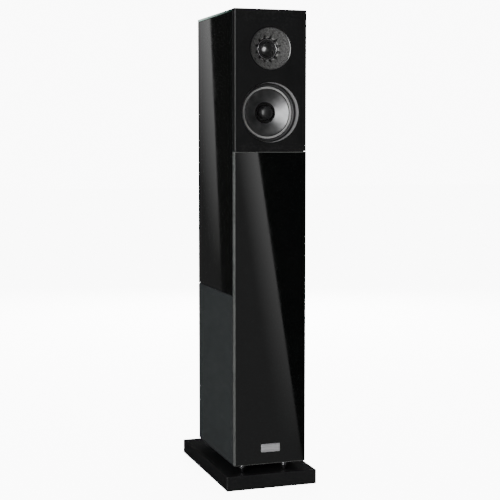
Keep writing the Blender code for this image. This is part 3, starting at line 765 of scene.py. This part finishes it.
def makeBaffle():
    low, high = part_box("upper_baffle_cover")
    split = (tweeterAt.z + midAt.z) / 2
    shape = bmesh.new()
    openings = (
        (tweeterAt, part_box("tweeter_faceplate")[1].x + panels["gap"], split, high.z),
        (midAt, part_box("mid_trim_ring")[1].x + panels["gap"], low.z, split),
    )
    for centre, radius, bottom, top in openings:
        ringToRectangle(shape, centre, radius, (low.x, 0, bottom), (high.x, 0, top), panels["ringSteps"])
    bmesh.ops.remove_doubles(shape, verts=shape.verts, dist=0.00002)
    thickness = high.y - low.y
    grown = bmesh.ops.extrude_face_region(shape, geom=shape.faces[:])["geom"]
    back = [item for item in grown if isinstance(item, bmesh.types.BMVert)]
    bmesh.ops.translate(shape, vec=(0, thickness, 0), verts=back)
    bmesh.ops.recalc_face_normals(shape, faces=shape.faces)
    corners, lips = [], []
    for edge in shape.edges:
        first, second = (vert.co for vert in edge.verts)
        if max(first.y, second.y) > low.y + 0.0001:
            continue
        onSide = all(abs(abs(co.x) - high.x) < 1e-5 for co in (first, second))
        onRing = any(all(abs((co - centre).length - radius) < 1e-5 for co in (first, second))
                     for centre, radius, _, _ in openings)
        if onSide:
            corners.append(edge)
        elif onRing:
            lips.append(edge)
    bevelEdges(shape, corners, panels["corner"], 2)
    bevelEdges(shape, lips, panels["lip"], 4)
    for face in shape.faces:
        outside = abs(face.calc_center_median().x) > high.x - 0.003
        face.material_index = 1 if outside and abs(face.normal.x) > 0.3 else 0
    finishPiece("upperBaffle", shape, "baffleSkin", "cabinet", ["upper_baffle_cover"], sharp=25,
                extra=("baffleEdge",))


def glassPanel(name, node, polished, width=panels["edge"], edge="glassEdge"):
    # glass with its narrow faces in their own finish; polished(axis, spot) picks the edges that are bevelled
    low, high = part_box(node)
    shape = roundBox(low, high, [(width, 3, polished)])
    size = high - low
    broad = min(range(3), key=lambda i: size[i])
    for face in shape.faces:
        face.material_index = 0 if abs(face.normal[broad]) > 0.99 else 1
    finishPiece(name, shape, "blackGlass", "cabinet", [node], sharp=20, extra=(edge,))


def makePanels():
    makeBaffle()
    glassPanel("lowerFrontGlass", "lower_front_glass", lambda axis, spot: spot[1] < -0.9, panels["polished"],
               "polishedEdge")
    glassPanel("leftGlass", "left_glass_panel", lambda axis, spot: spot[0] < -0.9)
    glassPanel("rightGlass", "right_glass_panel", lambda axis, spot: spot[0] > 0.9)
    glassPanel("topGlass", "top_glass_panel", lambda axis, spot: spot[2] > 0.9, edge="topEdgeReflection")


def roundedPlate(node, corner, rim, sign):
    # a plate facing along Y with round corners and a soft rim, and its front face
    shape = roundBox(*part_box(node), [(*corner, lambda axis, spot: axis == 1)])
    front = [face for face in shape.faces if face.normal.y * sign > 0.99]
    bevelEdges(shape, [edge for face in front for edge in face.edges], rim, 3)
    flat = [face for face in shape.faces if face.normal.y * sign > 0.999]
    return shape, [max(flat, key=lambda face: face.calc_area())]


def makeBadge():
    shape, front = roundedPlate("badge_plate", (badge["corner"], 4), badge["rim"], -1)
    deep = badge["grooveDepth"]   # a fine engraved border
    for width, depth in ((badge["border"], 0), (0.0002, -deep), (badge["groove"], 0), (0.0002, deep)):
        bmesh.ops.inset_region(shape, faces=front, thickness=width, depth=depth)
    finishPiece("badgePlate", shape, "badgeSilver", "cabinet", ["badge_plate"])


makePanels()
makeBadge()
print("panels ready")


# Tweeter.

tweeter = {
    "rim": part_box("tweeter_faceplate")[1].x,
    "back": (0.034, -0.0182),   # radius and depth of the step behind the rim
    "foot": -0.027,
    "throat": 0.0235,
    "wall": 0.0221,
    "recess": -0.006,
    "throatDepth": -0.0195,
    "notches": 12,
    "notchReach": 0.0294,
    "notchHalf": 0.0031,
    "notchDepth": 0.005,
    "flare": (0.0032, 0.0066),   # radial and deep sizes of the throat's rounded edge
    "hammer": 0.00012,
    "ring": (0.0162, 0.0205),
    "surround": (0.0152, 0.0163),
    "surroundHeight": -0.025,
}


def notchShare(x, y):
    # 1 inside a triangular notch of the throat, falling to 0 at its tip
    throat, reach = tweeter["throat"], tweeter["notchReach"]
    step = 2 * math.pi / tweeter["notches"]
    radius = math.hypot(x, y)
    if radius >= reach:
        return 0
    offset = abs(math.atan2(y, x) % step - step / 2) * radius
    half = tweeter["notchHalf"] * (reach - radius) / (reach - throat)
    return min(1, (reach - radius) / 0.002) if offset < half else 0


def notchAndHammer(shape):
    # presses the notches round the throat, then dimples the dish
    for vert in shape.verts:
        radius = math.hypot(vert.co.x, vert.co.y)
        if vert.co.z < -0.0262 or radius > tweeter["rim"] - 0.002:
            continue
        share = notchShare(vert.co.x, vert.co.y)
        if share:
            vert.co.z = max(vert.co.z - tweeter["notchDepth"] * share, -0.0265)
        elif radius > tweeter["throat"] + 0.001:
            vert.co.z += noise.noise(vert.co * 420) * tweeter["hammer"]


def plateOutline():
    # back, throat with a rounded edge, then a shallow horn that is steeper towards the throat
    rim, recess, depth, wall = (tweeter[key] for key in ("rim", "recess", "throatDepth", "wall"))
    (back, step), foot = tweeter["back"], tweeter["foot"]
    across, deep = tweeter["flare"]
    points = rounded([(rim, step, 0), (back, step, 0), (back, foot, 0), (wall, foot, 0)])
    for i in range(13):
        angle = math.radians(180 - 84 * i / 12)
        points.append((wall + across + across * math.cos(angle), depth - deep + deep * math.sin(angle)))
    start, end, top = wall + across * 0.95, rim - 0.0026, recess - 0.0002
    rows = 30
    for i in range(1, rows + 1):
        share = i / rows
        points.append((start + (end - start) * share, depth + (top - depth) * (1 - (1 - share) ** 1.22)))
    return points + rounded([(rim - 0.0012, recess, 0.0004), (rim - 0.0007, -0.0014, 0), (rim, -0.001, 0)])


def plateFinish(spot):
    # 1 in the notches, where their shade is painted in dark, 2 round the throat, 3 on the rim's wall
    radius = math.hypot(spot.x, spot.z)
    if notchShare(spot.x, spot.z) > 0.3 and -spot.y > tweeter["foot"] + 0.0001:
        return 1
    if radius < tweeter["throat"] + 0.001 and -spot.y > tweeter["foot"] + 0.0004:
        return 2
    return 3 if radius > tweeter["rim"] - 0.0014 else 0


def makeTweeter():
    plate = turnedPiece("tweeterPlate", plateOutline(), tweeterAt, "front", "hammeredCasting", "cabinet",
                        ["tweeter_faceplate"], steps=360, change=notchAndHammer,
                        sharp=40, extra=("notchPaintedShade", "flareGrey", "rimMetal"))
    paintFaces(plate, tweeterAt, plateFinish)
    inner, outer = tweeter["ring"]
    points = rounded([
        (outer, -0.0268, 0), (inner, -0.0268, 0), (inner, -0.025, 0.0006), (0.0192, -0.0246, 0.0006),
        (0.0194, -0.0228, 0.0004), (outer, -0.0228, 0.0004),
    ], 6)
    ring = turnedPiece("tweeterRing", points, tweeterAt, "front", "blackAndPaintedNeckShade", "cabinet",
                       ["tweeter_clamp_ring"], steps=128, extra=("beadMetal",))
    paintFaces(ring, tweeterAt, lambda spot: int(math.hypot(spot.x, spot.z) > 0.0193 and -spot.y > -0.0238))
    inner, outer = tweeter["surround"]
    high, middle = tweeter["surroundHeight"], (outer + inner) / 2
    roll = arcPoints((middle, high), 0.0005, 15, 165, 10)
    under = arcPoints((middle, high - 0.0002), 0.0004, 165, 15, 10)
    low = high - 0.0003
    flexPiece("tweeterSurround", "tweeter_surround",
              [(outer, high)] + roll + [(inner, high), (inner, low)] + under + [(outer, low)],
              tweeterAt, "front", "surroundRubber", 96)
    points = arcPoints((0, -0.0331), 0.017, 90, 30, 18)   # the dome, its skirt, then its inside
    points += [(0.0151, -0.0253), (0.015, -0.033), (0.0145, -0.033), (0.0145, -0.0258)]
    points += arcPoints((0, -0.0335), 0.0166, 32, 90, 12)
    turnedPiece("tweeterDome", points, tweeterAt, "front", "domeGloss", "tweeter_dome", ["tweeter_diaphragm"],
                closed=False)


makeTweeter()
print("tweeter ready")


# Midrange.

mid = {
    "opening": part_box("mid_trim_ring")[1].x,
    "wall": 0.06,
    "ring": (0.0488, 0.053),
    "ringHeight": -0.0215,
    "roll": (0.0536, 0.0596),   # the surround's half roll
    "lips": (0.0532, 0.064),
    "neck": (0.0166, -0.0405),
    "coil": -0.056,
    "plug": 0.013,
    "plugTop": (-0.0252, 0.0062),   # where its crown starts, and the crown's height
}


def coneLine(outer, inner, power, count):
    # a flared line from the rim to the neck, both (radius, height)
    points = []
    for i in range(count + 1):
        share = i / count
        radius = outer[0] + (inner[0] - outer[0]) * share
        points.append(Vector((radius, outer[1] + (inner[1] - outer[1]) * share ** power)))
    return points


def makeMidTrim():
    opening, wall = mid["opening"], mid["wall"]
    points = rounded([
        (opening, -0.001, 0.0006), (opening, -0.0195, 0), (wall, -0.0195, 0), (wall, -0.0168, 0),
        (wall + 0.0006, -0.0162, 0), (wall - 0.0002, -0.0152, 0.0005), (wall - 0.0003, -0.006, 0.004),
        (wall + 0.0005, -0.0006, 0.0012),
    ], 5)
    metal = spunMaterial("trimMetal", (0.34, 0.34, 0.345), (0.44, 0.44, 0.445), (0.3, 0.42), 0.000006,
                         midAt, "front", 0.35)
    trim = turnedPiece("midTrim", points, midAt, "front", metal, "cabinet", ["mid_trim_ring"], steps=160,
                       extra=("shadowBlack",))
    # painted shadow on the trim's foot and on its front lip
    paintFaces(trim, midAt, lambda spot: int(not -0.016 <= -spot.y <= -0.0014))   # dark foot and front lip


def makeMidSurround():
    (inner, outer), (innerLip, outerLip) = mid["roll"], mid["lips"]
    middle = (inner + outer) / 2
    top = arcPoints((middle, -0.0218), 0.003, 12, 165, 16)
    under = arcPoints((middle, -0.0225), 0.0026, 165, 12, 12)
    points = [(outerLip, -0.0199), (outer + 0.0002, -0.0199)] + top
    points += [(innerLip, -0.023), (innerLip, -0.0237)] + under
    points += [(outer + 0.0005, -0.0206), (outerLip, -0.0206)]
    flexPiece("midSurround", "mid_surround", points, midAt, "front", "surroundRubber",
              160)


def makeMidCone():
    inner, outer = mid["ring"]
    high = mid["ringHeight"]
    neck, neckHeight = mid["neck"]
    foot = high - 0.0022
    rim = rounded([(outer, foot, 0), (outer, high, 0.0009), (inner, high, 0.0009), (inner, foot, 0)], 5)[1:-1]
    face = [Vector((inner - 0.0003, high - 0.0024)), Vector((inner - 0.0012, high - 0.0025))]
    face += coneLine((inner - 0.0016, high - 0.002), (0.0218, -0.035), 0.86, 16)
    face += [Vector((0.0204, -0.0372)), Vector((0.0186, -0.0394)), Vector((neck, neckHeight))]
    back = [(p.x + 0.0004, p.y - 0.0009) for p in reversed(face)]
    coil = [(neck, mid["coil"]), (neck + 0.0007, mid["coil"]), (neck + 0.0007, neckHeight - 0.0011)]
    metal = spunMaterial("coneMetal", (0.19, 0.19, 0.194), (0.25, 0.25, 0.254), (0.34, 0.46), 0.000008,
                         midAt, "front", 0.97)
    bright = spunMaterial("coneRim", (0.36, 0.36, 0.355), (0.44, 0.44, 0.435), (0.34, 0.46), 0.000005,
                          midAt, "front", 0.2)
    points = rim + face + coil + back[1:] + [(outer, high - 0.0024)]
    cone = turnedPiece("midCone", points, midAt, "front", metal, "mid_cone", ["mid_cone"], steps=160,
                       extra=(bright, "blackAndPaintedNeckShade"))

    def coneFinish(spot):
        radius = math.hypot(spot.x, spot.z)
        if radius > inner - 0.0001 and -spot.y > high - 0.0019:
            return 1
        # 2 is painted shade, in the neck's recess and in the step under the rim ring
        return 2 if radius < 0.0212 or radius > inner - 0.0013 else 0

    paintFaces(cone, midAt, coneFinish)


def makeMidPlug():
    plug = mid["plug"]
    base, rise = mid["plugTop"]
    angles = [math.radians(90 - 90 * i / 14) for i in range(15)]
    points = [(0, base + rise)] + [(plug * math.cos(a), base + rise * math.sin(a)) for a in angles[1:]]
    points += rounded([(plug, -0.048, 0), (0, -0.048, 0)])
    metal = spunMaterial("plugMetal", (0.016, 0.016, 0.0165), (0.026, 0.026, 0.027), (0.3, 0.42), 0.000006,
                         midAt, "front", 0.3)
    turnedPiece("midPlug", points, midAt, "front", metal, "cabinet", ["mid_phase_plug"],
                closed=False)


makeMidTrim()
makeMidSurround()
makeMidCone()
makeMidPlug()
makeSpider("midSpider", "mid_spider", midAt, "front", 0.0178, 0.0312, -0.0425, -0.0457)
print("midrange ready")


# Woofers.

woofer = {
    "flange": 0.0925,
    "flangeDepth": 0.004,
    "screws": 6,
    "screwRing": 0.0897,
    "screwRadius": 0.0019,
    "basketDepth": -0.03,
    "roll": (0.0692, 0.0815),
    "lips": (0.0688, 0.0875),
    "coil": (0.0182, 0.019, -0.037),   # radii and depth
}


def makeBasket(side, place):
    flange, depth, deep = woofer["flange"], -woofer["flangeDepth"], woofer["basketDepth"]
    points = rounded([
        (flange, 0, 0.0008), (flange, depth, 0), (0.081, depth, 0), (0.056, deep, 0.001), (0.024, deep, 0),
        (0.024, deep + 0.002, 0), (0.054, deep + 0.002, 0.001), (0.079, -0.002, 0), (0.0815, -0.0004, 0),
    ], 4)
    turnedPiece(f"{side}WooferBasket", points, place, side, "basketPaint", "cabinet",
                [f"{side}_woofer_basket"], steps=120)


def makeWooferSurround(side, place):
    (inner, outer), (innerLip, outerLip) = woofer["roll"], woofer["lips"]
    middle = 0.0752
    points = [(outerLip, 0.001), (0.082, 0.001)] + arcPoints((middle, 0.0004), 0.006, 6, 174, 18)
    points += [(innerLip, 0.0012), (innerLip, 0.0004)] + arcPoints((middle, -0.0002), 0.0054, 174, 6, 14)
    points += [(0.0818, 0.0003), (outerLip, 0.0003)]
    flexPiece(f"{side}WooferSurround", f"{side}_woofer_surround", points, place, side, "surroundRubber",
              144)


def makeWooferCone(side, place, body):
    # dust cap, cone face, then back past the voice coil
    coilIn, coilOut, coilDepth = woofer["coil"]
    points = arcPoints((0, -0.0466), 0.0406, 90, 54, 10) + [(0.0242, -0.0137)]
    points += coneLine((0.0245, -0.0132), (0.0668, 0.0004), 1.12, 14)
    points += [(0.0682, 0.001), (0.0685, -0.0004), (0.056, -0.0052), (0.04, -0.0098), (coilOut, -0.016),
               (coilOut, coilDepth), (coilIn, coilDepth), (coilIn, -0.015), (0.012, -0.0098), (0, -0.0078)]
    metal = spunMaterial(f"{side}WooferMetal", (0.03, 0.03, 0.031), (0.05, 0.05, 0.052), (0.32, 0.46),
                         0.00001, place, side, 0.8)
    turnedPiece(f"{side}WooferCone", points, place, side, metal, body, [f"{side}_woofer_cone"], steps=144,
                closed=False)


def makeWoofer(side):
    low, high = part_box(f"{side}_woofer_basket")
    place = Vector((low.x if side == "left" else high.x, (low.y + high.y) / 2, (low.z + high.z) / 2))
    body = f"{side}_woofer_cone"
    makeBasket(side, place)
    makeWooferSurround(side, place)
    makeWooferCone(side, place, body)
    makeSpider(f"{side}WooferSpider", f"{side}_woofer_spider", place, side,
               0.0196, 0.0452, -0.0218, -0.0277)
    for number in range(woofer["screws"]):
        angle = math.radians(30 + 360 * number / woofer["screws"])
        spot = place + Vector((0, math.cos(angle), math.sin(angle))) * woofer["screwRing"]
        screwHead(f"{side}WooferScrew{number + 1}", spot, side, woofer["screwRadius"], "cabinet")


for side in ("left", "right"):
    makeWoofer(side)
print("woofers ready")


# Grilles.

grille = {"cloth": 0.0005, "wrap": 0.0052, "round": 0.0018, "bar": 0.014, "inset": 0.0007, "corner": 0.003}


def makeCloth(side, sign, low, high):
    # stretched over the frame's face and turned over its edges, open at the back
    shape = roundBox(low, high, [
        (grille["corner"], 4, lambda axis, spot: axis == 0),
        (grille["round"], 5, lambda axis, spot: axis != 0 and spot[0] * sign > 0.9),
    ])
    openFace = [face for face in shape.faces if face.normal.x * sign < -0.99]
    bmesh.ops.delete(shape, geom=openFace, context="FACES")
    front = high.x if sign > 0 else -low.x
    rim = [edge for edge in shape.edges if all(abs(abs(v.co.x) - front) < 0.00001 for v in edge.verts)]
    bmesh.ops.subdivide_edges(shape, edges=rim, cuts=3, use_grid_fill=True)
    obj = finishPiece(f"{side}GrilleCloth", shape, "grilleCloth", f"{side}_grille", [f"{side}_grille_cloth"])
    shell = obj.modifiers.new("thickness", "SOLIDIFY")
    shell.thickness = grille["cloth"]
    shell.offset = -1


def makeGrilleFrame(side, low, high):
    shape = roundBox(low, high, [(0.0028, 4, lambda axis, spot: axis == 0)])
    broad = [face for face in shape.faces if abs(face.normal.x) > 0.99]
    bmesh.ops.inset_region(shape, faces=broad, thickness=grille["bar"] - grille["inset"], depth=0)
    rims = [edge for face in broad for edge in face.edges]
    bmesh.ops.delete(shape, geom=broad, context="FACES_ONLY")
    bmesh.ops.bridge_loops(shape, edges=rims)
    bmesh.ops.recalc_face_normals(shape, faces=shape.faces)
    finishPiece(f"{side}GrilleFrame", shape, "framePlastic", f"{side}_grille", [f"{side}_grille_frame"])


def makeGrille(side):
    sign = -1 if side == "left" else 1
    clothLow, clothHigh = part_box(f"{side}_grille_cloth")
    frameLow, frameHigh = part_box(f"{side}_grille_frame")
    outer, inner = (clothLow.x, frameHigh.x) if sign < 0 else (clothHigh.x, frameLow.x)
    hem = outer - sign * grille["wrap"]
    makeCloth(side, sign, Vector((min(outer, hem), clothLow.y, clothLow.z)),
              Vector((max(outer, hem), clothHigh.y, clothHigh.z)))
    inset, face = grille["inset"], outer - sign * (grille["cloth"] + 0.0002)
    makeGrilleFrame(side, Vector((min(face, inner), frameLow.y + inset, frameLow.z + inset)),
                    Vector((max(face, inner), frameHigh.y - inset, frameHigh.z - inset)))


for side in ("left", "right"):
    makeGrille(side)
print("grilles ready")


# Port and terminals.

backScrew = 0.0018
port = {"bore": 0.0265, "wall": 0.0025, "flare": 0.0092, "face": 0.0016, "screws": 4, "screwInset": 0.0035}
terminals = {
    "corner": 0.006, "rim": 0.0008, "border": 0.0036, "step": 0.0006, "sunk": 0.0009, "screwInset": 0.008,
}
post = {
    "stud": 0.02, "thread": (0.0026, 0.003), "pitch": 0.001, "turns": 13, "washer": 0.0072, "bore": 0.0034,
    "knob": 0.008, "knobEnds": (0.0063, 0.023), "ribs": 18, "ribDepth": 0.0006, "ribSpan": (0.009, 0.0215),
}


def makePort():
    low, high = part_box("port_tube")
    place = Vector(((low.x + high.x) / 2, backY, (low.z + high.z) / 2))
    flange, end = (high.x - low.x) / 2, low.y - backY
    bore, flare, face = port["bore"], port["flare"], port["face"]
    outside = bore + port["wall"]
    points = rounded([
        (flange, face, 0.0008), (flange, 0.0003, 0), (outside, 0.0003, 0), (outside, end, 0.001),
        (bore, end, 0.001),
    ], 4)
    points += arcPoints((bore + flare, -0.0078), flare, 180, 96, 12)
    turnedPiece("portTube", points, place, "back", "portPlastic", "cabinet", ["port_tube"], steps=128)
    for number in range(port["screws"]):
        angle = math.radians(45 + 360 * number / port["screws"])
        reach = flange - port["screwInset"]
        spot = place + Vector((reach * math.cos(angle), face - 0.0002, reach * math.sin(angle)))
        screwHead(f"portScrew{number + 1}", spot, "back", backScrew, "cabinet")


def makeTerminals():
    low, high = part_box("terminal_plate")
    shape, front = roundedPlate("terminal_plate", (terminals["corner"], 6), terminals["rim"], 1)
    for width, depth in ((terminals["border"], 0), (terminals["step"], -terminals["sunk"])):
        bmesh.ops.inset_region(shape, faces=front, thickness=width, depth=depth)
    finishPiece("terminalPlate", shape, "terminalPlastic", "cabinet", ["terminal_plate"])
    inset, face = terminals["screwInset"], high.y - terminals["sunk"] - 0.0001
    spots = [(x, z) for x in (low.x + inset, high.x - inset) for z in (low.z + inset, high.z - inset)]
    for number, (x, z) in enumerate(spots):
        screwHead(f"terminalScrew{number + 1}", Vector((x, face, z)), "back", backScrew, "cabinet")
    for colour in ("red", "black"):
        makePost(colour)


def pressRibs(shape):
    # hollows between the ribs of a knob
    low, high = post["ribSpan"]
    for vert in shape.verts:
        reach = math.hypot(vert.co.x, vert.co.y)
        if low < vert.co.z < high and reach > post["knob"] - 0.0006:
            wave = math.cos(post["ribs"] * math.atan2(vert.co.y, vert.co.x))
            shrink = 1 - post["ribDepth"] * max(0, wave) / reach
            vert.co.x *= shrink
            vert.co.y *= shrink


def makePost(colour):
    low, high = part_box(f"{colour}_post")
    place = Vector(((low.x + high.x) / 2, low.y, (low.z + high.z) / 2))
    root, crest = post["thread"]
    top, bore, washer, knob = (post[key] for key in ("stud", "bore", "washer", "knob"))
    points = rounded([(0, top, 0), (0.0022, top, 0), (crest, top - 0.001, 0.0003)], 3)
    for i in range(post["turns"] * 2):
        points.append((root if i % 2 else crest, 0.0184 - i * post["pitch"] / 2))
    points += rounded([(crest, 0.0046, 0), (0.0078, 0.004, 0.0006), (0.008, 0.0, 0), (0, 0, 0)], 3)
    turnedPiece(f"{colour}Post", points, place, "back", "brassPlate", "cabinet", [f"{colour}_post"], steps=40,
                closed=False)
    points = rounded([(washer, 0.006, 0.0004), (washer, 0.0043, 0.0004), (bore, 0.0043, 0.0003),
                      (bore, 0.006, 0.0003)], 3)
    turnedPiece(f"{colour}Washer", points, place, "back", "brassPlate", f"{colour}_clamp",
                [f"{colour}_clamp_washer"], steps=64)
    foot, end = post["knobEnds"]
    points = rounded([
        (0.0062, end, 0.001), (knob, end - 0.0012, 0.0008), (knob, 0.018, 0), (knob, 0.014, 0),
        (knob, 0.01, 0), (knob, 0.0076, 0.0006), (washer, foot, 0.0004), (bore, foot, 0.0003),
        (bore, end, 0.0005),
    ], 4)
    turnedPiece(f"{colour}Knob", points, place, "back", f"knob{colour.capitalize()}", f"{colour}_knob",
                [f"{colour}_knob"], steps=144, change=pressRibs)


makePort()
makeTerminals()
print("back ready")


# Finishes of the frame's own pieces.

carried = {
    "paintedBoard": ["left_side_board", "right_side_board", "top_board", "bottom_board", "back_board",
                     "front_board"],
    "rawBoard": ["mid_chamber_shelf", "window_brace"],
    "basketPaint": ["mid_basket"],
    "magnetPlating": ["tweeter_motor", "mid_magnet", "left_woofer_magnet", "right_woofer_magnet"],
    "boardGreen": ["crossover_board"],
    "copperWire": ["crossover_coil"],
    "capacitorWrap": ["crossover_capacitor"],
}
for finish, names in carried.items():
    for name in names:
        mesh = nodes[name].data
        if not mesh.materials:
            mesh.materials.append(finishes[finish])
        for i in range(len(mesh.materials)):
            mesh.materials[i] = finishes[finish]
finished = [name for group in carried.values() for name in group]
left = [name for name, node in nodes.items() if not node.hide_render and name not in finished]
print("frame pieces finished, without a finish:", left)
